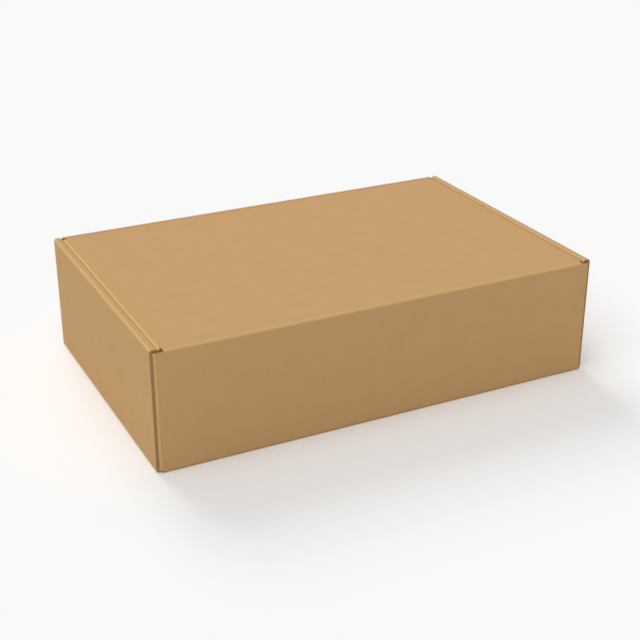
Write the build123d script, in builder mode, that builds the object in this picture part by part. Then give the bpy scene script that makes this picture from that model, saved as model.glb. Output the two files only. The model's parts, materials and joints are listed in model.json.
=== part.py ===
from build123d import *
import math
import os

os.makedirs("parts", exist_ok=True)

# A die-cut mailing box of corrugated board, shut. One sheet is folded into a tray, whose two end
# walls roll over and lock in slots, and a lid that hangs on the tray's long hinge wall.
# The origin is on the table under the middle of the box. +X runs along the box, +Z is up, the
# hinge wall is at -Y and the lid tucks in behind the wall at +Y. All sizes are in millimetres.

# ---------------------------------------------------------------- driving sizes
# Overall, over the outside of the folds.
length = 310.0
depth = 200.0
height = 81.3

# The board and how it folds.
board = 1.5
fold_inside_radius = 0.3
layer_gap = 0.35

# Steps between the top edges, all measured down from the top of the end walls.
lid_drop = 0.6
tuck_wall_drop = 0.4

# Between the cut edges of the end walls and the inside faces of the long walls.
end_wall_clearance = 0.5

# Ears of the long walls, folded in between the two boards of each end wall.
ear_length = 76.0
ear_taper = 14.0
ear_corner_radius = 6.0

# Tabs under the inner boards of the end walls, and their slots in the bottom.
tab_width = 30.0
tab_taper = 2.0
tab_spacing = 100.0
tab_end_height = 0.2
slot_clearance = 0.2
slot_end_clearance = 1.0

# The lid between the end walls. Relief notches part its side folds from its two long folds.
lid_side_clearance = 0.3
side_fold_setback = 0.9
relief_depth = 2.9
relief_width = 1.6

# The slit that opens the hinge crease, so that the lid can turn as a piece of its own.
hinge_slit = 0.3

# Side flaps of the lid.
side_flap_depth = 45.0
side_flap_taper = 11.0
side_flap_corner_radius = 8.0

# Tuck flap of the lid.
tuck_clearance = 0.3
tuck_flap_depth = 38.0
tuck_flap_taper = 7.0
tuck_flap_corner_radius = 12.0
tuck_lean_margin = 0.3

# The raised part of the tuck wall stops this far short of the lid's sides.
tuck_wall_shoulder = 0.6

# ---------------------------------------------------------------- worked out
half_length = length / 2
half_depth = depth / 2
fold_radius = board + fold_inside_radius

# Layers of an end wall, from outside in: outer board, ear, inner board.
ear_outer_face = half_length - board - layer_gap
inner_board_outer_face = ear_outer_face - board - layer_gap
inner_board_inner_face = inner_board_outer_face - board
end_wall_half_depth = half_depth - board - end_wall_clearance

# Long walls run between the folds of their ears, which pass under the rolled top.
long_wall_half_length = ear_outer_face - fold_radius
ear_fold_centre_y = half_depth - fold_radius
ear_bottom = fold_radius
ear_top = height - fold_radius

# The lid, and the crease that hangs it on the hinge wall.
lid_top = height - lid_drop
tuck_wall_top = height - tuck_wall_drop
lid_half_length = inner_board_inner_face - lid_side_clearance
side_fold_centre_x = lid_half_length - fold_radius
crease_half_length = side_fold_centre_x - relief_width / 2
crease_y = -half_depth + fold_radius
crease_z = lid_top - fold_radius

# The outer paper of a crease keeps its length as it unbends, so the lid turns about a line this
# far out from the centre of the fold, along each of Y and Z.
pivot_offset = fold_radius * math.pi / 4
pivot_y = crease_y - pivot_offset
pivot_z = crease_z + pivot_offset

# The tuck flap leans in, so that its lower edge clears the tuck wall as the lid swings up.
tuck_face = half_depth - board - tuck_clearance
tuck_fold_y = tuck_face - fold_radius
tuck_flap_length = tuck_flap_depth - fold_radius
swing_radius = tuck_face - pivot_y
flap_chord_angle = math.degrees(math.asin(tuck_flap_length / (2 * swing_radius)))
fold_drop_angle = math.degrees(math.asin(pivot_offset / swing_radius))
tuck_lean = flap_chord_angle + fold_drop_angle + tuck_lean_margin


def ring_section(plane, centre, start_angle, angle):
    """The section of a fold: part of a ring, one board thick, about the fold's centre."""
    with BuildSketch(plane) as section:
        with BuildLine():
            outside = CenterArc(centre, fold_radius, start_angle, angle)
            inside = CenterArc(centre, fold_inside_radius, start_angle, angle)
            Line(outside @ 0, inside @ 0)
            Line(outside @ 1, inside @ 1)
        make_face()
    return section.sketch


def folded_section(plane, outside_corners, inside_corners):
    """A folded board's section: its two faces, rounded at every fold, and its two cut ends."""
    with BuildSketch(plane) as section:
        with BuildLine():
            outside = FilletPolyline(*outside_corners, radius=fold_radius)
            inside = FilletPolyline(*inside_corners, radius=fold_inside_radius)
            Line(outside @ 0, inside @ 0)
            Line(outside @ 1, inside @ 1)
        make_face()
    return section.sketch


def crease_half_section(start_angle):
    """Half of the hinge crease's section, cut back from the slit across its middle."""
    with BuildSketch(Plane.YZ) as section:
        add(ring_section(Plane.XY, (crease_y, crease_z), start_angle, 45))
        with Locations((crease_y, crease_z)):
            Rectangle(4 * fold_radius, hinge_slit, rotation=135, mode=Mode.SUBTRACT)
    return section.sketch


# ---------------------------------------------------------------- the tray
with BuildPart() as base:
    # Bottom and the two long walls, as one folded strip.
    long_outside = [
        (-half_depth, crease_z),
        (-half_depth, 0),
        (half_depth, 0),
        (half_depth, ear_top),
    ]
    long_inside = [
        (-half_depth + board, crease_z),
        (-half_depth + board, board),
        (half_depth - board, board),
        (half_depth - board, ear_top),
    ]
    long_strip = folded_section(Plane.YZ, long_outside, long_inside)
    extrude(long_strip, amount=long_wall_half_length, both=True)

    # The hinge wall's ends stand up beside the crease, to just under the rolled tops.
    wall_end_start = crease_half_length + hinge_slit
    with BuildSketch(Plane.XZ.offset(half_depth)):
        Polygon(
            (wall_end_start, crease_z),
            (long_wall_half_length, crease_z),
            (long_wall_half_length, ear_top),
            (wall_end_start, ear_top),
            align=None,
        )
    extrude(amount=-board)

    # The tuck wall stands up between the end walls, level with the lid.
    tuck_wall_half_length = lid_half_length - tuck_wall_shoulder
    with BuildSketch(Plane.XZ.offset(-half_depth)):
        Polygon(
            (-tuck_wall_half_length, ear_top),
            (tuck_wall_half_length, ear_top),
            (tuck_wall_half_length, tuck_wall_top),
            (-tuck_wall_half_length, tuck_wall_top),
            align=None,
        )
    extrude(amount=board)

    # The hinge wall's half of the crease that carries the lid.
    extrude(crease_half_section(135), amount=crease_half_length, both=True)

    # An end wall in section: up from the bottom, over the ears and down to the bottom again.
    inner_board_bottom = board + layer_gap
    end_outside = [
        (inner_board_inner_face, 0),
        (half_length, 0),
        (half_length, height),
        (inner_board_inner_face, height),
        (inner_board_inner_face, inner_board_bottom),
    ]
    end_inside = [
        (inner_board_inner_face, board),
        (half_length - board, board),
        (half_length - board, height - board),
        (inner_board_outer_face, height - board),
        (inner_board_outer_face, inner_board_bottom),
    ]
    end_strip = folded_section(Plane.XZ, end_outside, end_inside)
    extrude(end_strip, amount=end_wall_half_depth, both=True)

    # Each ear turns the corner from its long wall and lies between the two boards.
    for wall in (-1, 1):
        fold_centre = (long_wall_half_length, wall * ear_fold_centre_y)
        fold_start = 0 if wall > 0 else -90
        corner_fold = ring_section(Plane.XY.offset(ear_bottom), fold_centre, fold_start, 90)
        extrude(corner_fold, amount=ear_top - ear_bottom)
        ear_start = wall * ear_fold_centre_y
        ear_end = wall * (ear_fold_centre_y - ear_length)
        ear_shoulder = wall * (ear_fold_centre_y - ear_length + ear_taper)
        with BuildSketch(Plane.YZ.offset(ear_outer_face)) as ear:
            Polygon(
                (ear_start, ear_bottom),
                (ear_shoulder, ear_bottom),
                (ear_end, ear_bottom + ear_taper),
                (ear_end, ear_top - ear_taper),
                (ear_shoulder, ear_top),
                (ear_start, ear_top),
                align=None,
            )
            tip_corners = ear.vertices().group_by(Axis.Y)[0 if wall > 0 else -1]
            fillet(tip_corners, ear_corner_radius)
        extrude(amount=-board)

    # The inner board's tabs stand in slots in the bottom.
    for tab_y in (-tab_spacing / 2, tab_spacing / 2):
        slot_thickness = board + 2 * slot_clearance
        slot_x = inner_board_outer_face - board / 2
        with BuildSketch(Plane.XY):
            with Locations((slot_x, tab_y)):
                Rectangle(slot_thickness, tab_width + 2 * slot_end_clearance)
        extrude(amount=board, mode=Mode.SUBTRACT)
        with BuildSketch(Plane.YZ.offset(inner_board_outer_face)):
            Polygon(
                (tab_y - tab_width / 2, inner_board_bottom),
                (tab_y - tab_width / 2 + tab_taper, tab_end_height),
                (tab_y + tab_width / 2 - tab_taper, tab_end_height),
                (tab_y + tab_width / 2, inner_board_bottom),
                align=None,
            )
        extrude(amount=-board)

    # The other end is its mirror image.
    split(bisect_by=Plane.YZ, keep=Keep.TOP)
    mirror(about=Plane.YZ)

base.part.label = "base"
export_step(base.part, "parts/base.step")


# ---------------------------------------------------------------- the lid
with BuildPart() as lid:
    # The lid's half of the hinge crease.
    extrude(crease_half_section(90), amount=crease_half_length, both=True)

    # The lid panel, from the hinge crease to the fold of the tuck flap.
    with BuildSketch(Plane.XY.offset(lid_top)):
        Polygon(
            (-side_fold_centre_x, crease_y),
            (side_fold_centre_x, crease_y),
            (side_fold_centre_x, tuck_fold_y),
            (-side_fold_centre_x, tuck_fold_y),
            align=None,
        )
    extrude(amount=-board)

    # The fold of the tuck flap, then the flap, which leans in behind the tuck wall.
    tuck_fold = ring_section(Plane.YZ, (tuck_fold_y, crease_z), -tuck_lean, 90 + tuck_lean)
    extrude(tuck_fold, amount=crease_half_length, both=True)
    lean = math.radians(tuck_lean)
    flap_origin = (
        0,
        tuck_fold_y + fold_radius * math.cos(lean),
        crease_z - fold_radius * math.sin(lean),
    )
    flap_outward = (0, math.cos(lean), -math.sin(lean))
    with BuildSketch(Plane(flap_origin, x_dir=(-1, 0, 0), z_dir=flap_outward)) as tuck_flap:
        tip_half_length = crease_half_length - tuck_flap_taper
        Polygon(
            (-crease_half_length, 0),
            (crease_half_length, 0),
            (tip_half_length, -tuck_flap_length),
            (-tip_half_length, -tuck_flap_length),
            align=None,
        )
        fillet(tuck_flap.vertices().group_by(Axis.Y)[0], tuck_flap_corner_radius)
    extrude(amount=-board)

    # A fold and a flap hang down inside each end wall.
    side_fold_start = crease_y + side_fold_setback
    side_fold_end = tuck_fold_y - side_fold_setback
    side_fold_middle = (side_fold_start + side_fold_end) / 2
    side_fold_half_depth = (side_fold_end - side_fold_start) / 2
    side_fold_plane = Plane.XZ.offset(-side_fold_middle)
    side_fold = ring_section(side_fold_plane, (side_fold_centre_x, crease_z), 0, 90)
    extrude(side_fold, amount=side_fold_half_depth, both=True)
    side_flap_bottom = lid_top - side_flap_depth
    with BuildSketch(Plane.YZ.offset(lid_half_length)) as side_flap:
        Polygon(
            (side_fold_start, crease_z),
            (side_fold_start + side_flap_taper, side_flap_bottom),
            (side_fold_end - side_flap_taper, side_flap_bottom),
            (side_fold_end, crease_z),
            align=None,
        )
        fillet(side_flap.vertices().group_by(Axis.Y)[0], side_flap_corner_radius)
    extrude(amount=-board)

    # Relief notches, where the side folds come near the hinge crease and the tuck fold.
    with BuildSketch(Plane.XY.offset(crease_z - fold_radius)):
        for fold_line, inward in ((crease_y, 1), (tuck_fold_y, -1)):
            Polygon(
                (crease_half_length, fold_line),
                (crease_half_length + relief_width, fold_line),
                (side_fold_centre_x, fold_line + inward * relief_depth),
                align=None,
            )
    extrude(amount=2 * fold_radius, mode=Mode.SUBTRACT)

    # The other end is its mirror image.
    split(bisect_by=Plane.YZ, keep=Keep.TOP)
    mirror(about=Plane.YZ)

lid.part.label = "lid"
export_step(lid.part, "parts/lid.step")
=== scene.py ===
import json
import math

import bpy
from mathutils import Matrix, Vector
from mathutils.geometry import tessellate_polygon


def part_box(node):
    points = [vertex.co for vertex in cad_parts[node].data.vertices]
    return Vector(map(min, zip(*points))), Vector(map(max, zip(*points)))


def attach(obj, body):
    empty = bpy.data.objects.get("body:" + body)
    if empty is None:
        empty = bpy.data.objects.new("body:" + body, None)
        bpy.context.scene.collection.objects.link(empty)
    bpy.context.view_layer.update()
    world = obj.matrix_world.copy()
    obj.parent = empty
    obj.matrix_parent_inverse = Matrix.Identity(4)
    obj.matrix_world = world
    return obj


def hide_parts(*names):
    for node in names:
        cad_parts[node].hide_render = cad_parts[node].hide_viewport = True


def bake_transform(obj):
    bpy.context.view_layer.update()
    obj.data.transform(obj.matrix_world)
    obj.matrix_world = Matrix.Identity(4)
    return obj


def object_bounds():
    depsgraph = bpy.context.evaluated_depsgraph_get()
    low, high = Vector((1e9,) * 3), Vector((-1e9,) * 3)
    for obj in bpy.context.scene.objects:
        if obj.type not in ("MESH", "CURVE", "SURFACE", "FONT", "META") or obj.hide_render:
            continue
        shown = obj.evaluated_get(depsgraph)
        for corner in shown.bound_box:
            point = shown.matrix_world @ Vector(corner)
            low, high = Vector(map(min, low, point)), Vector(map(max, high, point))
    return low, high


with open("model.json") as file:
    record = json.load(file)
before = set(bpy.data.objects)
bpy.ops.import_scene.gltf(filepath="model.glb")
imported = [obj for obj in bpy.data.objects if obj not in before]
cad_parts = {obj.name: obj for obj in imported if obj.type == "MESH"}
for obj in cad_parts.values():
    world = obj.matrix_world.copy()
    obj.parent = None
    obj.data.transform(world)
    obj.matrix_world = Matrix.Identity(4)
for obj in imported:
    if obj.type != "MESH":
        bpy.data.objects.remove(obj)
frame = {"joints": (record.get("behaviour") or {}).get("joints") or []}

# A mailing box of corrugated board, shut. One blank is folded into a tray and a lid, as the real
# box is: each panel is drawn flat, in the blank's own (u, v), and each crease turns the next panel
# out of the plane of the last. The flutes run along v. Lengths are in metres.
MM = 0.001
QUARTER_TURN = math.pi / 2

# ---------------------------------------------------------------- sizes
# The board and its creases, as in the CAD model.
BOARD = 1.5 * MM
FOLD_INSIDE_RADIUS = 0.3 * MM
FOLD_RADIUS = BOARD + FOLD_INSIDE_RADIUS
LAYER_GAP = 0.35 * MM
FOLD_STEPS = 12
CORNER_STEPS = 8

# Two flat papers with a fluted one between them. Cut edges show the flutes inside a groove.
PAPER = 0.2 * MM
CORE_HALF = BOARD / 2 - PAPER
GROOVE = 0.45 * MM
FLUTE_PITCH = 3.4 * MM
FLUTE_PAPER = 0.16 * MM
FLUTE_RECESS = 0.12 * MM
FLUTE_STEPS = 12

# Overall sizes, from the frame.
cad_low, cad_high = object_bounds()
lid_low, lid_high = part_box("lid")
HALF_LENGTH = cad_high.x
HALF_DEPTH = cad_high.y
HEIGHT = cad_high.z
LID_TOP = lid_high.z
LID_HALF_LENGTH = lid_high.x
TUCK_FACE = lid_high.y
SIDE_FLAP_BOTTOM = lid_low.z
HINGE = Vector(frame["joints"][0]["pos_m"])

# The tray.
EAR_OUTER_FACE = HALF_LENGTH - BOARD - LAYER_GAP
INNER_BOARD_OUTER_FACE = EAR_OUTER_FACE - BOARD - LAYER_GAP
END_WALL_CLEARANCE = 0.5 * MM
END_WALL_HALF_DEPTH = HALF_DEPTH - BOARD - END_WALL_CLEARANCE
LONG_WALL_HALF_LENGTH = EAR_OUTER_FACE - FOLD_RADIUS
TUCK_WALL_DROP = 0.4 * MM
TUCK_WALL_TOP = HEIGHT - TUCK_WALL_DROP
TUCK_WALL_END_GAP = 0.6 * MM
TUCK_WALL_HALF_LENGTH = LID_HALF_LENGTH - TUCK_WALL_END_GAP
PRESSED_HEIGHT = 1.1 * MM
EAR_LENGTH = 76 * MM
EAR_TAPER = 14 * MM
EAR_CORNER_RADIUS = 6 * MM
TAB_WIDTH = 30 * MM
TAB_TAPER = 2 * MM
TAB_SPACING = 100 * MM
TAB_END_HEIGHT = 0.2 * MM
SLOT_CLEARANCE = 0.2 * MM
SLOT_END_CLEARANCE = 1 * MM

# The lid.
CREASE_SLIT = 0.3 * MM
SIDE_FOLD_SETBACK = 0.9 * MM
RELIEF_DEPTH = 2.9 * MM
RELIEF_WIDTH = 1.6 * MM
SIDE_FOLD_LINE = LID_HALF_LENGTH - FOLD_RADIUS
CREASE_HALF_LENGTH = SIDE_FOLD_LINE - RELIEF_WIDTH / 2
SIDE_FLAP_TAPER = 11 * MM
SIDE_FLAP_CORNER_RADIUS = 8 * MM
TUCK_FLAP_DEPTH = 38 * MM
TUCK_FLAP_LENGTH = TUCK_FLAP_DEPTH - FOLD_RADIUS
TUCK_FLAP_TAPER = 7 * MM
TUCK_FLAP_CORNER_RADIUS = 12 * MM
SWING_RADIUS = TUCK_FACE - HINGE.y
CREASE_Z = LID_TOP - FOLD_RADIUS
# The lean that lets the flap swing clear of the tuck wall, and a little more.
LEAN_MARGIN = math.radians(0.3)
TUCK_LEAN = (
    math.asin(TUCK_FLAP_LENGTH / (2 * SWING_RADIUS))
    + math.asin((HINGE.z - CREASE_Z) / SWING_RADIUS)
    + LEAN_MARGIN
)


# ---------------------------------------------------------------- the board
class Sheet:
    """The faces of one piece of board, gathered before they become a Blender mesh."""

    WELD = 0.001 * MM

    def __init__(self):
        self.index_of = {}
        self.points = []
        self.faces = []
        self.normals = []
        self.blank = []
        self.slots = []

    def index(self, place):
        key = tuple(round(c / self.WELD) for c in place)
        if key not in self.index_of:
            self.index_of[key] = len(self.points)
            self.points.append(place)
        return self.index_of[key]

    def face(self, corners, slot):
        """Corners are (place, normal, (u, v)). A face with no area is left out."""
        kept = {}
        for place, normal, blank in corners:
            kept.setdefault(self.index(place), (normal, blank))
        if len(kept) < 3:
            return
        order = list(kept)
        area = Vector((0, 0, 0))
        first = self.points[order[0]]
        for a, b in zip(order[1:], order[2:]):
            area += (self.points[a] - first).cross(self.points[b] - first)
        if area.length < self.WELD**2:
            return
        if area.dot(sum((n for n, _ in kept.values()), Vector((0, 0, 0)))) < 0:
            order.reverse()
        self.faces.append(order)
        self.slots.append(slot)
        self.normals.extend(kept[i][0] for i in order)
        self.blank.extend(kept[i][1] for i in order)

    def make(self, name, materials):
        mesh = bpy.data.meshes.new(name)
        mesh.from_pydata(self.points, [], self.faces)
        for material in materials:
            mesh.materials.append(material)
        mesh.polygons.foreach_set("material_index", self.slots)
        blank_map = mesh.uv_layers.new(name="blank")
        blank_map.uv.foreach_set("vector", [c for uv in self.blank for c in uv])
        mesh.shade_smooth()
        mesh.normals_split_custom_set([n.normalized() for n in self.normals])
        made = bpy.data.objects.new(name, mesh)
        bpy.context.scene.collection.objects.link(made)
        return made


class Panel:
    """Where a flat panel lies: (u, v) on its outside face, and w out of that face."""

    def __init__(self, origin, u_way, v_way, out):
        self.origin = origin
        self.u_way = u_way
        self.v_way = v_way
        self.out = out

    def corner(self, uv, w, normal):
        place = self.origin + uv[0] * self.u_way + uv[1] * self.v_way + w * self.out
        return place, normal, (uv[0], uv[1])


class Crease:
    """A fold about a line of the blank, along u or v, that turns what lies beyond it inwards."""

    def __init__(self, panel, along, line, way, turn=QUARTER_TURN):
        self.along = along
        self.line = line
        self.way = way
        self.turn = turn
        self.end = line + way * FOLD_RADIUS * turn
        self.out = panel.out
        self.lengthwise = panel.u_way if along == "u" else panel.v_way
        self.across = way * (panel.v_way if along == "u" else panel.u_way)
        across_line = panel.v_way if along == "u" else panel.u_way
        self.centre = panel.origin + line * across_line - FOLD_RADIUS * panel.out

    def uv(self, turned, t):
        """The blank's (u, v) at this much of the turn and at t along the crease."""
        s = self.line + self.way * FOLD_RADIUS * turned
        return (t, s) if self.along == "u" else (s, t)

    def normal(self, turned):
        return math.cos(turned) * self.out + math.sin(turned) * self.across

    def corner(self, turned, t, w, normal=None):
        outward = self.normal(turned)
        place = self.centre + t * self.lengthwise + (FOLD_RADIUS + w) * outward
        return place, normal or outward, self.uv(turned, t)

    def beyond(self):
        """The panel on the far side of the crease, in the same (u, v)."""
        out = self.normal(self.turn)
        onward = math.cos(self.turn) * self.across - math.sin(self.turn) * self.out
        across_way = self.way * onward
        origin = self.centre + FOLD_RADIUS * out - self.end * across_way
        if self.along == "u":
            return Panel(origin, self.lengthwise, across_way, out)
        return Panel(origin, across_way, self.lengthwise, out)


# An edge of a panel is a fold, or is cut. A cut edge is given by the depth of its groove.
FOLD, PLAIN = None, 0.0
NEARLY_STRAIGHT = 0.02

# The material slots of a sheet, and w at the faces of its two flat papers.
PAPER_SLOT, CORE_SLOT, PRESSED_SLOT = 0, 1, 2
LEVELS = (0.0, -PAPER, PAPER - BOARD, -BOARD)


def stations_of(turn):
    """The angles that share out a turn evenly, with both its ends."""
    return [turn * k / FOLD_STEPS for k in range(FOLD_STEPS + 1)]


def pairs(values):
    """Each value with the next one."""
    return zip(values, values[1:])


def rounded(corners):
    """The outline with its corners rounded.

    Corners are (u, v, edge) or (u, v, edge, radius), where edge is the one that starts there.
    """
    made = []
    for i, corner in enumerate(corners):
        u, v, edge = corner[:3]
        if len(corner) == 3:
            made.append((u, v, edge))
            continue
        here = Vector((u, v))
        back = (Vector(corners[i - 1][:2]) - here).normalized()
        ahead = (Vector(corners[(i + 1) % len(corners)][:2]) - here).normalized()
        half_angle = back.angle(ahead) / 2
        radius = corner[3]
        centre = here + (back + ahead).normalized() * (radius / math.sin(half_angle))
        start = here + back * (radius / math.tan(half_angle)) - centre
        finish = here + ahead * (radius / math.tan(half_angle)) - centre
        for k in range(CORNER_STEPS + 1):
            spoke = start.slerp(finish, k / CORNER_STEPS).normalized() * radius
            made.append((centre.x + spoke.x, centre.y + spoke.y, edge))
    return made


def symmetric(half, crossing):
    """A whole outline from its half at positive u. crossing is the edge between its two ends."""
    other = [
        (-u, v, half[i - 1][2] if i else crossing, *radius)
        for i, (u, v, _, *radius) in reversed(list(enumerate(half)))
    ]
    return half + other


def with_board_on_left(outline, hole=False):
    """The outline in the order that keeps the board on the left of each edge."""
    area = sum(
        a[0] * b[1] - b[0] * a[1] for a, b in zip(outline, outline[1:] + outline[:1])
    )
    if (area > 0) != hole:
        return outline
    count = len(outline)
    return [(*outline[-1 - i][:2], outline[(count - 2 - i) % count][2]) for i in range(count)]


def inset_corners(outline):
    """Where the grooves of the edges on both sides of each corner meet, inside the board."""
    places = [Vector(corner[:2]) for corner in outline]
    lines = []
    for i, (_, _, edge) in enumerate(outline):
        start, end = places[i], places[(i + 1) % len(places)]
        inward = (end - start).orthogonal().normalized()
        depth = edge or 0.0
        lines.append((start + inward * depth, end + inward * depth, inward * depth))
    inset = []
    for i, place in enumerate(places):
        before, after = lines[i - 1], lines[i]
        way_a, way_b = before[1] - before[0], after[1] - after[0]
        if abs(way_a.normalized().cross(way_b.normalized())) < NEARLY_STRAIGHT:
            inset.append(place + max(after[2], before[2], key=lambda shift: shift.length))
        else:
            k = (after[0] - before[0]).cross(way_b) / way_a.cross(way_b)
            inset.append(before[0] + k * way_a)
    return inset


def add_flutes(sheet, panel, start, end, inward, depth):
    """The fluted paper that shows in the groove of one cut edge."""
    run = end - start
    steps = max(2, math.ceil(abs(run.x) / FLUTE_PITCH * FLUTE_STEPS))
    wave = 2 * math.pi / FLUTE_PITCH
    reach = CORE_HALF - FLUTE_PAPER / 2
    rows = []
    for k in range(steps + 1):
        row = []
        for inset in (FLUTE_RECESS, depth):
            uv = start + run * (k / steps) + inward * inset
            slope = reach * wave * math.cos(wave * uv.x)
            half = FLUTE_PAPER / 2 * math.hypot(1, slope)
            middle = reach * math.sin(wave * uv.x) - BOARD / 2
            upward = (panel.out - slope * panel.u_way).normalized()
            top, bottom = min(middle + half, -PAPER), max(middle - half, PAPER - BOARD)
            row.append((uv, top, bottom, upward))
        rows.append(row)
    outward = -(inward.x * panel.u_way + inward.y * panel.v_way)
    for (front_a, back_a), (front_b, back_b) in pairs(rows):
        rim = [(front_a, 1), (front_b, 1), (front_b, 2), (front_a, 2)]
        sheet.face([panel.corner(c[0], c[level], outward) for c, level in rim], PAPER_SLOT)
        for level, sign in ((1, 1), (2, -1)):
            ring = (front_a, front_b, back_b, back_a)
            sheet.face([panel.corner(c[0], c[level], sign * c[3]) for c in ring], PAPER_SLOT)


def add_cut_edges(sheet, panel, outline):
    """The walls round a panel: the two papers' edges, and a groove between them."""
    inset = inset_corners(outline)
    for i, (u, v, edge) in enumerate(outline):
        if edge is FOLD:
            continue
        following = (i + 1) % len(outline)
        start, end = Vector((u, v)), Vector(outline[following][:2])
        inward = (end - start).orthogonal().normalized()
        outward = -(inward.x * panel.u_way + inward.y * panel.v_way)
        rim = [start, end, end, start]
        for top, bottom in (LEVELS[:2], LEVELS[2:]):
            levels = (top, top, bottom, bottom)
            sheet.face([panel.corner(p, w, outward) for p, w in zip(rim, levels)], PAPER_SLOT)
        floor = [inset[i], inset[following], inset[following], inset[i]]
        levels = (LEVELS[1], LEVELS[1], LEVELS[2], LEVELS[2])
        sheet.face([panel.corner(p, w, outward) for p, w in zip(floor, levels)], CORE_SLOT)
        ledge = (start, end, inset[following], inset[i])
        for w, normal in ((LEVELS[1], -panel.out), (LEVELS[2], panel.out)):
            sheet.face([panel.corner(p, w, normal) for p in ledge], CORE_SLOT)
        run = end - start
        if edge >= GROOVE and abs(run.x) > abs(run.y):
            add_flutes(sheet, panel, start, end, inward, edge)


def add_panel(sheet, panel, outline, holes=()):
    """A flat panel of the board, with its cut edges. Its fold edges are left open."""
    loops = [with_board_on_left(rounded(outline))]
    loops += [with_board_on_left(hole, hole=True) for hole in holes]
    places = [[Vector((u, v, 0)) for u, v, _ in loop] for loop in loops]
    flat = [place for loop in places for place in loop]
    for triangle in tessellate_polygon(places):
        for w, normal in ((0.0, panel.out), (-BOARD, -panel.out)):
            sheet.face([panel.corner(flat[k], w, normal) for k in triangle], PAPER_SLOT)
    for loop in loops:
        add_cut_edges(sheet, panel, loop)


def add_fold(sheet, crease, low, high, low_grooves=(PLAIN, PLAIN), high_grooves=(PLAIN, PLAIN)):
    """The board bent round a crease, and the panel beyond it.

    low and high are its ends along the crease, or functions of the turn so far. Each end's
    grooves are how deep its groove is at the start and at the end of the turn.
    """
    low_at, high_at = (
        value if callable(value) else (lambda _, fixed=value: fixed) for value in (low, high)
    )
    for a, b in pairs(stations_of(crease.turn)):
        for w, sign in ((0.0, 1), (-BOARD, -1)):
            ring = [(a, low_at(a)), (a, high_at(a)), (b, high_at(b)), (b, low_at(b))]
            corners = [crease.corner(s, t, w, sign * crease.normal(s)) for s, t in ring]
            sheet.face(corners, PAPER_SLOT)
        for edge_at, grooves, way in ((low_at, low_grooves, -1), (high_at, high_grooves, 1)):
            outward = way * crease.lengthwise
            rim = [(s, edge_at(s)) for s in (a, b)]
            depths = [grooves[0] + (grooves[1] - grooves[0]) * s / crease.turn for s in (a, b)]
            deep = [(s, t - way * depth) for (s, t), depth in zip(rim, depths)]
            bands = (
                (rim, LEVELS[0], LEVELS[1], PAPER_SLOT),
                (deep, LEVELS[1], LEVELS[2], CORE_SLOT),
                (rim, LEVELS[2], LEVELS[3], PAPER_SLOT),
            )
            for (first, second), top, bottom, slot in bands:
                ring = [(*first, top), (*second, top), (*second, bottom), (*first, bottom)]
                sheet.face([crease.corner(s, t, w, outward) for s, t, w in ring], slot)
            for w, sign in ((LEVELS[1], -1), (LEVELS[2], 1)):
                ring = (rim[0], rim[1], deep[1], deep[0])
                corners = [crease.corner(s, t, w, sign * crease.normal(s)) for s, t in ring]
                sheet.face(corners, CORE_SLOT)
    return crease.beyond()


# ---------------------------------------------------------------- the tray
def end_board(sheet, way, crease, reach, tabs=False):
    """A board of an end wall: on from its crease by reach. The inner board ends in two tabs."""
    start, end = crease.end, crease.end + way * reach
    half = END_WALL_HALF_DEPTH
    outline = [(start, -half, GROOVE), (end, -half, GROOVE if tabs else FOLD)]
    if tabs:
        tip = end + way * (BOARD + LAYER_GAP - TAB_END_HEIGHT)
        root, narrow = TAB_WIDTH / 2, TAB_WIDTH / 2 - TAB_TAPER
        for middle in (-TAB_SPACING / 2, TAB_SPACING / 2):
            outline.append((end, middle - root, GROOVE))
            outline.append((tip, middle - narrow, GROOVE))
            outline.append((tip, middle + narrow, GROOVE))
            outline.append((end, middle + root, GROOVE))
    outline += [(end, half, GROOVE), (start, half, FOLD)]
    add_panel(sheet, crease.beyond(), outline)
    return end


def add_end_wall(sheet, bottom, way):
    """Up from the bottom, over the ears and down to the bottom again."""
    half = END_WALL_HALF_DEPTH
    opening, open_groove = (PLAIN, GROOVE), (GROOVE, GROOVE)
    upright = HEIGHT - 2 * FOLD_RADIUS
    top_width = HALF_LENGTH - INNER_BOARD_OUTER_FACE + BOARD - 2 * FOLD_RADIUS
    inner_reach = HEIGHT - FOLD_RADIUS - BOARD - LAYER_GAP
    foot = Crease(bottom, "v", way * (HALF_LENGTH - FOLD_RADIUS), way)
    outer_board = add_fold(sheet, foot, -half, half, opening, opening)
    rim = Crease(outer_board, "v", end_board(sheet, way, foot, upright), way)
    top = add_fold(sheet, rim, -half, half, open_groove, open_groove)
    brow = Crease(top, "v", end_board(sheet, way, rim, top_width), way)
    add_fold(sheet, brow, -half, half, open_groove, open_groove)
    end_board(sheet, way, brow, inner_reach, tabs=True)


def add_ear(sheet, wall, way, foot, head):
    """Turns in from the end of a long wall. foot and head are its lower and upper edges' v."""
    crease = Crease(wall, "v", way * LONG_WALL_HALF_LENGTH, way)
    ends = sorted([(foot, (PLAIN, GROOVE)), (head, (GROOVE, GROOVE))])
    (low, low_grooves), (high, high_grooves) = ends
    ear = add_fold(sheet, crease, low, high, low_grooves, high_grooves)
    start, end = crease.end, crease.end + way * EAR_LENGTH
    shoulder = end - way * EAR_TAPER
    taper = math.copysign(EAR_TAPER, head - foot)
    outline = [
        (start, foot, GROOVE),
        (shoulder, foot, GROOVE),
        (end, foot + taper, GROOVE, EAR_CORNER_RADIUS),
        (end, head - taper, GROOVE, EAR_CORNER_RADIUS),
        (shoulder, head, GROOVE),
        (start, head, FOLD),
    ]
    add_panel(sheet, ear, outline)


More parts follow.
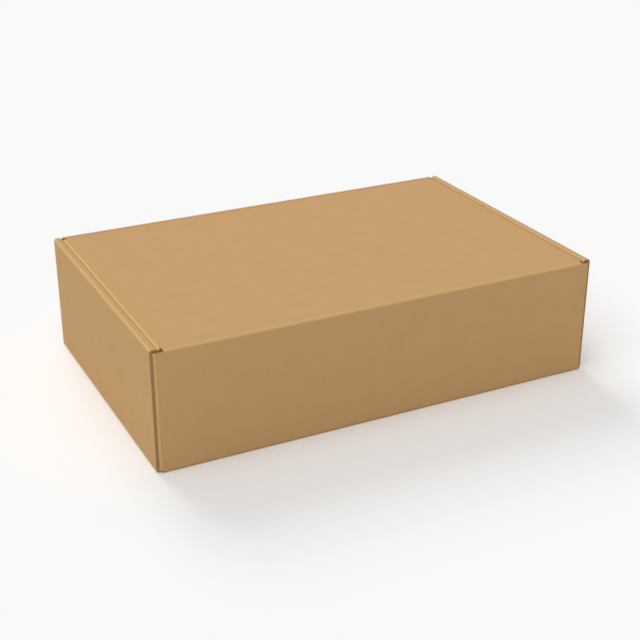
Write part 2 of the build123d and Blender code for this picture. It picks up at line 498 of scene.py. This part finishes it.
def add_pressed_edge(sheet, panel, half, base, rise):
    """A cut edge that the cutting rule pressed shut and rounded.

    It runs from -half to half along u, and from base by rise along v.
    """
    stations = stations_of(math.pi)

    def corner(s, u, normal=None):
        """s goes round the edge, from the outside face to the inside face."""
        away = math.cos(s) / (BOARD / 2) * panel.out + math.sin(s) / rise * panel.v_way
        w = BOARD / 2 * (math.cos(s) - 1)
        return panel.corner((u, base + rise * math.sin(s)), w, normal or away.normalized())

    for a, b in pairs(stations):
        ring = ((a, -half), (a, half), (b, half), (b, -half))
        sheet.face([corner(s, u) for s, u in ring], PRESSED_SLOT)
    for way in (-1, 1):
        sheet.face([corner(s, way * half, way * panel.u_way) for s in stations], PRESSED_SLOT)


def add_long_wall(sheet, bottom, way, half_top):
    """A long wall and its two ears. half_top is half of its top edge, as (u, height, edge).

    Gives the wall's panel and its top edge's v.
    """
    foot = Crease(bottom, "u", way * (HALF_DEPTH - FOLD_RADIUS), way)
    wall = add_fold(sheet, foot, -LONG_WALL_HALF_LENGTH, LONG_WALL_HALF_LENGTH)
    ear_foot = foot.end
    ear_head = foot.end + way * (HEIGHT - 2 * FOLD_RADIUS)
    half = [(LONG_WALL_HALF_LENGTH, ear_foot, FOLD), (LONG_WALL_HALF_LENGTH, ear_head, GROOVE)]
    half += [(u, foot.end + way * (height - FOLD_RADIUS), edge) for u, height, edge in half_top]
    add_panel(sheet, wall, symmetric(half, FOLD))
    for end in (-1, 1):
        add_ear(sheet, wall, end, ear_foot, ear_head)
    return wall, half[-1][1]


def make_tray(sheet):
    """The bottom and all that stands on it. Gives the hinge wall and its hinge edge's v."""
    bottom = Panel(Vector((0, 0, 0)), Vector((1, 0, 0)), Vector((0, 1, 0)), Vector((0, 0, -1)))
    long_fold = HALF_DEPTH - FOLD_RADIUS
    end_fold = HALF_LENGTH - FOLD_RADIUS
    right = [
        (LONG_WALL_HALF_LENGTH, -long_fold, PLAIN),
        (LONG_WALL_HALF_LENGTH, -END_WALL_HALF_DEPTH, PLAIN),
        (end_fold, -END_WALL_HALF_DEPTH, FOLD),
        (end_fold, END_WALL_HALF_DEPTH, PLAIN),
        (LONG_WALL_HALF_LENGTH, END_WALL_HALF_DEPTH, PLAIN),
        (LONG_WALL_HALF_LENGTH, long_fold, FOLD),
    ]
    slots = []
    slot_half_width = BOARD / 2 + SLOT_CLEARANCE
    slot_half_length = TAB_WIDTH / 2 + SLOT_END_CLEARANCE
    for end in (-1, 1):
        for middle in (-TAB_SPACING / 2, TAB_SPACING / 2):
            near = end * (INNER_BOARD_OUTER_FACE - BOARD / 2) - slot_half_width
            far = near + 2 * slot_half_width
            low, high = middle - slot_half_length, middle + slot_half_length
            ring = ((near, low), (far, low), (far, high), (near, high))
            slots.append([(u, v, PLAIN) for u, v in ring])
    add_panel(sheet, bottom, symmetric(right, FOLD), slots)
    for end in (-1, 1):
        add_end_wall(sheet, bottom, end)
    ear_top = HEIGHT - FOLD_RADIUS
    tuck_top = [
        (TUCK_WALL_HALF_LENGTH, ear_top, PLAIN),
        (TUCK_WALL_HALF_LENGTH, TUCK_WALL_TOP - PRESSED_HEIGHT, FOLD),
    ]
    tuck_wall, base = add_long_wall(sheet, bottom, 1, tuck_top)
    add_pressed_edge(sheet, tuck_wall, TUCK_WALL_HALF_LENGTH, base, PRESSED_HEIGHT)
    hinge_top = [
        (CREASE_HALF_LENGTH + CREASE_SLIT, ear_top, PLAIN),
        (CREASE_HALF_LENGTH + CREASE_SLIT, CREASE_Z, PLAIN),
        (CREASE_HALF_LENGTH, CREASE_Z, PLAIN),
    ]
    return add_long_wall(sheet, bottom, -1, hinge_top)


# ---------------------------------------------------------------- the lid
def make_lid(sheet, hinge):
    """The lid panel and its three flaps, on from the hinge crease."""
    panel = hinge.beyond()
    tuck_line = hinge.end - (TUCK_FACE - FOLD_RADIUS + HALF_DEPTH - FOLD_RADIUS)
    right = [
        (CREASE_HALF_LENGTH, hinge.end, PLAIN),
        (SIDE_FOLD_LINE, hinge.end - RELIEF_DEPTH, FOLD),
        (SIDE_FOLD_LINE, tuck_line + RELIEF_DEPTH, PLAIN),
        (CREASE_HALF_LENGTH, tuck_line, FOLD),
    ]
    add_panel(sheet, panel, symmetric(right, PLAIN))

    def setback(turned):
        """How far the relief notch cuts into the side fold, this far round it."""
        cut = RELIEF_DEPTH * (1 - 2 * FOLD_RADIUS * math.sin(turned) / RELIEF_WIDTH)
        return max(cut, SIDE_FOLD_SETBACK)

    def low(turned):
        return tuck_line + setback(turned)

    def high(turned):
        return hinge.end - setback(turned)

    growing = (PLAIN, GROOVE)
    flap_low, flap_high = tuck_line + SIDE_FOLD_SETBACK, hinge.end - SIDE_FOLD_SETBACK
    for way in (-1, 1):
        crease = Crease(panel, "v", way * SIDE_FOLD_LINE, way)
        flap = add_fold(sheet, crease, low, high, growing, growing)
        start, end = crease.end, crease.end + way * (CREASE_Z - SIDE_FLAP_BOTTOM)
        outline = [
            (start, flap_low, GROOVE),
            (end, flap_low + SIDE_FLAP_TAPER, GROOVE, SIDE_FLAP_CORNER_RADIUS),
            (end, flap_high - SIDE_FLAP_TAPER, GROOVE, SIDE_FLAP_CORNER_RADIUS),
            (start, flap_high, FOLD),
        ]
        add_panel(sheet, flap, outline)

    tuck = Crease(panel, "u", tuck_line, -1, QUARTER_TURN + TUCK_LEAN)
    flap = add_fold(sheet, tuck, -CREASE_HALF_LENGTH, CREASE_HALF_LENGTH, growing, growing)
    tip = tuck.end - TUCK_FLAP_LENGTH
    tip_half = CREASE_HALF_LENGTH - TUCK_FLAP_TAPER
    half = [
        (CREASE_HALF_LENGTH, tuck.end, GROOVE),
        (tip_half, tip, GROOVE, TUCK_FLAP_CORNER_RADIUS),
    ]
    add_panel(sheet, flap, symmetric(half, FOLD))


def crease_paper(name, crease, top, bottom, materials):
    """One paper of the hinge crease, drawn round it as it lies with the lid shut."""
    sheet = Sheet()
    half = CREASE_HALF_LENGTH
    for a, b in pairs(stations_of(crease.turn)):
        for w, sign in ((top, 1), (bottom, -1)):
            ring = ((a, -half), (a, half), (b, half), (b, -half))
            corners = [crease.corner(s, t, w, sign * crease.normal(s)) for s, t in ring]
            sheet.face(corners, PAPER_SLOT)
        for way in (-1, 1):
            ring = ((a, top), (b, top), (b, bottom), (a, bottom))
            outward = way * crease.lengthwise
            sheet.face([crease.corner(s, way * half, w, outward) for s, w in ring], PAPER_SLOT)
    for turned, sign in ((0.0, -1), (crease.turn, 1)):
        onward = math.cos(turned) * crease.across - math.sin(turned) * crease.out
        ring = ((-half, top), (half, top), (half, bottom), (-half, bottom))
        sheet.face([crease.corner(turned, t, w, sign * onward) for t, w in ring], PAPER_SLOT)
    made = sheet.make(name, materials)
    middle = (top + bottom) / 2
    start, end = (crease.corner(turned, 0, middle)[0] for turned in (0.0, crease.turn))
    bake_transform(made)
    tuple(start)
    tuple(end)
    return made


# ---------------------------------------------------------------- materials
KRAFT = Vector((0.560, 0.341, 0.151))
PAPER_GLOSS = 0.15
PAPER_ROUGHNESS = (0.95, 0.82)

# How far each paper's colour varies, and the paper inside the board painted darker: painted shade
# in the grooves of cut edges.
PAPER_CONTRAST = 0.05
CORE_CONTRAST = 0.15
CORE_PAINTED_SHADE = 0.9

# Painted highlight: how much lighter each paper is painted where it turns over at the top of the
# box, as if lit there.
TRAY_FOLD_HIGHLIGHT = 0.16
LID_FOLD_HIGHLIGHT = 0.30
CREASE_FOLD_HIGHLIGHT = 0.26
PRESSED_EDGE_HIGHLIGHT = 0.65
CORE_FOLD_HIGHLIGHT = 0.0

# The grains of the paper along u and along v, the noise each one uses, and what it adds to the
# tone, which runs from 0, the darkest, to 1.
FIBRE_SIZE = (1.6 * MM, 0.25 * MM)
CLOUD_SIZE = (14 * MM, 9 * MM)
FLECK_SIZE = (0.9 * MM, 0.5 * MM)
CLOUD_DETAIL = 4.0
MIDDLE_OF_NOISE = (0.3, 0.7)
PEAKS_OF_NOISE = (0.66, 0.78)
WAVE = (-1.0, 1.0)
FIBRE_TONE = (0.20, 0.50)
CLOUD_TONE = (0.00, 0.25)
FLECK_TONE = (0.00, -0.30)
FLUTE_TONE = (0.00, 0.08)

# What the fibres and the flutes add to the height of the paper's faint bumps.
FIBRE_BUMP = (0.0, 0.4)
FLUTE_BUMP = (0.0, 0.6)
BUMP_STRENGTH = 0.25
BUMP_HEIGHT = 0.02 * MM


def new_material(name, gloss):
    """A node material: the material itself, its nodes, its links and its shader."""
    material = bpy.data.materials.new(name)
    material.use_nodes = True
    nodes, links = material.node_tree.nodes, material.node_tree.links
    shader = nodes["Principled BSDF"]
    shader.inputs["Specular IOR Level"].default_value = gloss
    return material, nodes, links, shader


def noise(nodes, links, place, size, detail=2.0):
    """Noise whose grains measure size, in metres along u and along v. Gives its 0 to 1 output."""
    scaled = nodes.new("ShaderNodeMapping")
    scaled.inputs["Scale"].default_value = (1 / size[0], 1 / size[1], 1)
    links.new(place, scaled.inputs["Vector"])
    grain = nodes.new("ShaderNodeTexNoise")
    grain.noise_dimensions = "2D"
    grain.inputs["Scale"].default_value = 1.0
    grain.inputs["Detail"].default_value = detail
    links.new(scaled.outputs["Vector"], grain.inputs["Vector"])
    return grain.outputs["Fac"]


def ranged(nodes, links, value, source, target):
    """value, moved from the range source to the range target."""
    step = nodes.new("ShaderNodeMapRange")
    for name, number in zip(("From Min", "From Max", "To Min", "To Max"), (*source, *target)):
        step.inputs[name].default_value = number
    links.new(value, step.inputs["Value"])
    return step.outputs["Result"]


def maths(nodes, links, operation, *values):
    """One Math node. Each value is a number or another node's output."""
    step = nodes.new("ShaderNodeMath")
    step.operation = operation
    for socket, value in zip(step.inputs, values):
        if isinstance(value, (int, float)):
            socket.default_value = value
        else:
            links.new(value, socket)
    return step.outputs["Value"]


def total(nodes, links, first, *others):
    """The sum of several values."""
    for other in others:
        first = maths(nodes, links, "ADD", first, other)
    return first


def washboard(nodes, links, place):
    """The flutes as they show faintly through the paper: a wave along u, from -1 to 1."""
    split = nodes.new("ShaderNodeSeparateXYZ")
    links.new(place, split.inputs["Vector"])
    turns = maths(nodes, links, "MULTIPLY", split.outputs["X"], 2 * math.pi / FLUTE_PITCH)
    return maths(nodes, links, "SINE", turns)


def painted_fold_highlight(nodes, links, highlight):
    """Painted highlight: how much lighter the paper is painted, 1 on flat faces and 1 + highlight
    halfway round a top fold.
    """
    coordinates = nodes.new("ShaderNodeTexCoord")
    split = nodes.new("ShaderNodeSeparateXYZ")
    links.new(coordinates.outputs["Normal"], split.inputs["Vector"])
    upward = maths(nodes, links, "MAXIMUM", split.outputs["Z"], 0.0)
    turned = maths(nodes, links, "ARCCOSINE", maths(nodes, links, "MINIMUM", upward, 1.0))
    halfway = maths(nodes, links, "SINE", maths(nodes, links, "MULTIPLY", turned, 2.0))
    return maths(nodes, links, "MULTIPLY_ADD", halfway, highlight, 1.0)


def board_material(name, highlight, shade=1.0, contrast=PAPER_CONTRAST):
    """Kraft paper: long fine fibres, a cloudy formation and the flutes behind them, with a painted
    highlight where it turns over at the top.
    """
    material, nodes, links, shader = new_material(name, PAPER_GLOSS)
    blank = nodes.new("ShaderNodeUVMap")
    blank.uv_map = "blank"
    place = blank.outputs["UV"]
    fibres = noise(nodes, links, place, FIBRE_SIZE)
    clouds = noise(nodes, links, place, CLOUD_SIZE, CLOUD_DETAIL)
    flecks = noise(nodes, links, place, FLECK_SIZE)
    wave = washboard(nodes, links, place)
    tone = total(
        nodes,
        links,
        ranged(nodes, links, fibres, MIDDLE_OF_NOISE, FIBRE_TONE),
        ranged(nodes, links, clouds, MIDDLE_OF_NOISE, CLOUD_TONE),
        ranged(nodes, links, flecks, PEAKS_OF_NOISE, FLECK_TONE),
        ranged(nodes, links, wave, WAVE, FLUTE_TONE),
    )
    ramp = nodes.new("ShaderNodeValToRGB")
    for element, side in zip(ramp.color_ramp.elements, (-1, 1)):
        element.color = (*(KRAFT * shade * (1 + side * contrast)), 1)
    links.new(tone, ramp.inputs["Fac"])
    # The colour, painted lighter halfway round the top folds: a painted highlight.
    highlighted = nodes.new("ShaderNodeVectorMath")
    highlighted.operation = "SCALE"
    links.new(ramp.outputs["Color"], highlighted.inputs["Vector"])
    links.new(painted_fold_highlight(nodes, links, highlight), highlighted.inputs["Scale"])
    links.new(highlighted.outputs["Vector"], shader.inputs["Base Color"])
    rough = ranged(nodes, links, fibres, MIDDLE_OF_NOISE, PAPER_ROUGHNESS)
    links.new(rough, shader.inputs["Roughness"])
    height = total(
        nodes,
        links,
        ranged(nodes, links, fibres, MIDDLE_OF_NOISE, FIBRE_BUMP),
        ranged(nodes, links, wave, WAVE, FLUTE_BUMP),
    )
    bump = nodes.new("ShaderNodeBump")
    bump.inputs["Strength"].default_value = BUMP_STRENGTH
    bump.inputs["Distance"].default_value = BUMP_HEIGHT
    links.new(height, bump.inputs["Height"])
    links.new(bump.outputs["Normal"], shader.inputs["Normal"])
    return material


# ---------------------------------------------------------------- the pieces
# Each paper's number is how much lighter its top folds are painted: a painted highlight.
tray_paper = board_material("tray_paper", TRAY_FOLD_HIGHLIGHT)
lid_paper = board_material("lid_paper", LID_FOLD_HIGHLIGHT)
hinge_paper = board_material("crease_paper", CREASE_FOLD_HIGHLIGHT)
# The pressed back edge is painted much lighter still: a painted highlight along the top of the tuck
# wall.
pressed_paper = board_material("pressed_edge_paper", PRESSED_EDGE_HIGHLIGHT)
# The paper inside the board is painted darker than the kraft: painted shade in the grooves of cut
# edges.
core = board_material("flute_core", CORE_FOLD_HIGHLIGHT, CORE_PAINTED_SHADE, CORE_CONTRAST)

tray_sheet, lid_sheet = Sheet(), Sheet()
hinge_wall, hinge_edge = make_tray(tray_sheet)
hinge_crease = Crease(hinge_wall, "u", hinge_edge, -1)
make_lid(lid_sheet, hinge_crease)

tray_board = tray_sheet.make("tray_board", (tray_paper, core, pressed_paper))
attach(tray_board, "tray")
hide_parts("base")
lid_board = lid_sheet.make("lid_board", (lid_paper, core))
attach(lid_board, "lid")
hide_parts("lid")
outer_paper = crease_paper("hinge_crease_outer", hinge_crease, *LEVELS[:2], (hinge_paper,))
inner_paper = crease_paper("hinge_crease_inner", hinge_crease, *LEVELS[2:], (hinge_paper,))


# ---------------------------------------------------------------- floor, light and camera
FLOOR_REACH = 60.0
FLOOR_WHITE = 0.947

# The sky's strength just above the horizon and higher up, and the sines of the elevations
# between which it changes.
HORIZON_SKY = 0.949
AMBIENT = 0.235
HORIZON_BAND = (0.02, 0.1)


def bearing(azimuth, elevation):
    """A unit vector. Azimuth 0 is the hinge wall's side, and 90 the side of the box's right end."""
    turned, raised = math.radians(azimuth), math.radians(elevation)
    level = Vector((math.sin(turned), -math.cos(turned), 0))
    return level * math.cos(raised) + Vector((0, 0, math.sin(raised)))


def make_floor():
    """A plain pale floor, far larger than any view."""
    signs = ((-1, -1), (1, -1), (1, 1), (-1, 1))
    corners = [(x * FLOOR_REACH, y * FLOOR_REACH, 0) for x, y in signs]
    mesh = bpy.data.meshes.new("floor")
    mesh.from_pydata(corners, [], [(0, 1, 2, 3)])
    material, _, _, shader = new_material("floor_paint", 0.0)
    shader.inputs["Base Color"].default_value = (FLOOR_WHITE, FLOOR_WHITE, FLOOR_WHITE, 1)
    shader.inputs["Roughness"].default_value = 1.0
    mesh.materials.append(material)
    floor = bpy.data.objects.new("floor", mesh)
    bpy.context.scene.collection.objects.link(floor)


def make_sun(name, azimuth, elevation, share, spread):
    """A distant soft light, spread degrees wide.

    share is how far it alone would light a white face that looks straight at it, from 0 to 1.
    """
    light = bpy.data.lights.new(name, "SUN")
    light.energy = math.pi * share
    light.angle = math.radians(spread)
    lamp = bpy.data.objects.new(name, light)
    lamp.rotation_mode = "QUATERNION"
    lamp.rotation_quaternion = bearing(azimuth, elevation).to_track_quat("Z", "Y")
    bpy.context.scene.collection.objects.link(lamp)


def make_world():
    """A dim even sky, which grows as pale as the floor towards the horizon."""
    world = bpy.data.worlds.new("studio")
    world.use_nodes = True
    nodes, links = world.node_tree.nodes, world.node_tree.links
    background = nodes["Background"]
    background.inputs["Color"].default_value = (1, 1, 1, 1)
    way = nodes.new("ShaderNodeTexCoord")
    split = nodes.new("ShaderNodeSeparateXYZ")
    links.new(way.outputs["Generated"], split.inputs["Vector"])
    sky = ranged(nodes, links, split.outputs["Z"], HORIZON_BAND, (HORIZON_SKY, AMBIENT))
    links.new(sky, background.inputs["Strength"])
    bpy.context.scene.world = world


def make_camera():
    """Looks at the box from above its near left corner."""
    back = bearing(azimuth=-26.51, elevation=24.88)
    distance = 874.9 * MM
    off_centre = Vector((-0.18, -5.4, -10.6)) * MM
    data = bpy.data.cameras.new("camera")
    data.lens = 70.9
    data.sensor_width = 36.0
    camera = bpy.data.objects.new("camera", data)
    camera.location = (cad_low + cad_high) / 2 + off_centre + back * distance
    camera.rotation_mode = "QUATERNION"
    camera.rotation_quaternion = (-back).to_track_quat("-Z", "Y")
    bpy.context.scene.collection.objects.link(camera)
    bpy.context.scene.camera = camera


make_floor()
make_world()
make_sun("key", azimuth=-57, elevation=60, share=0.52, spread=60)
make_sun("back", azimuth=182, elevation=40, share=0.335, spread=30)
make_sun("top_back", azimuth=170, elevation=62, share=0.11, spread=70)
make_camera()
bpy.context.scene.view_settings.view_transform = "Standard"
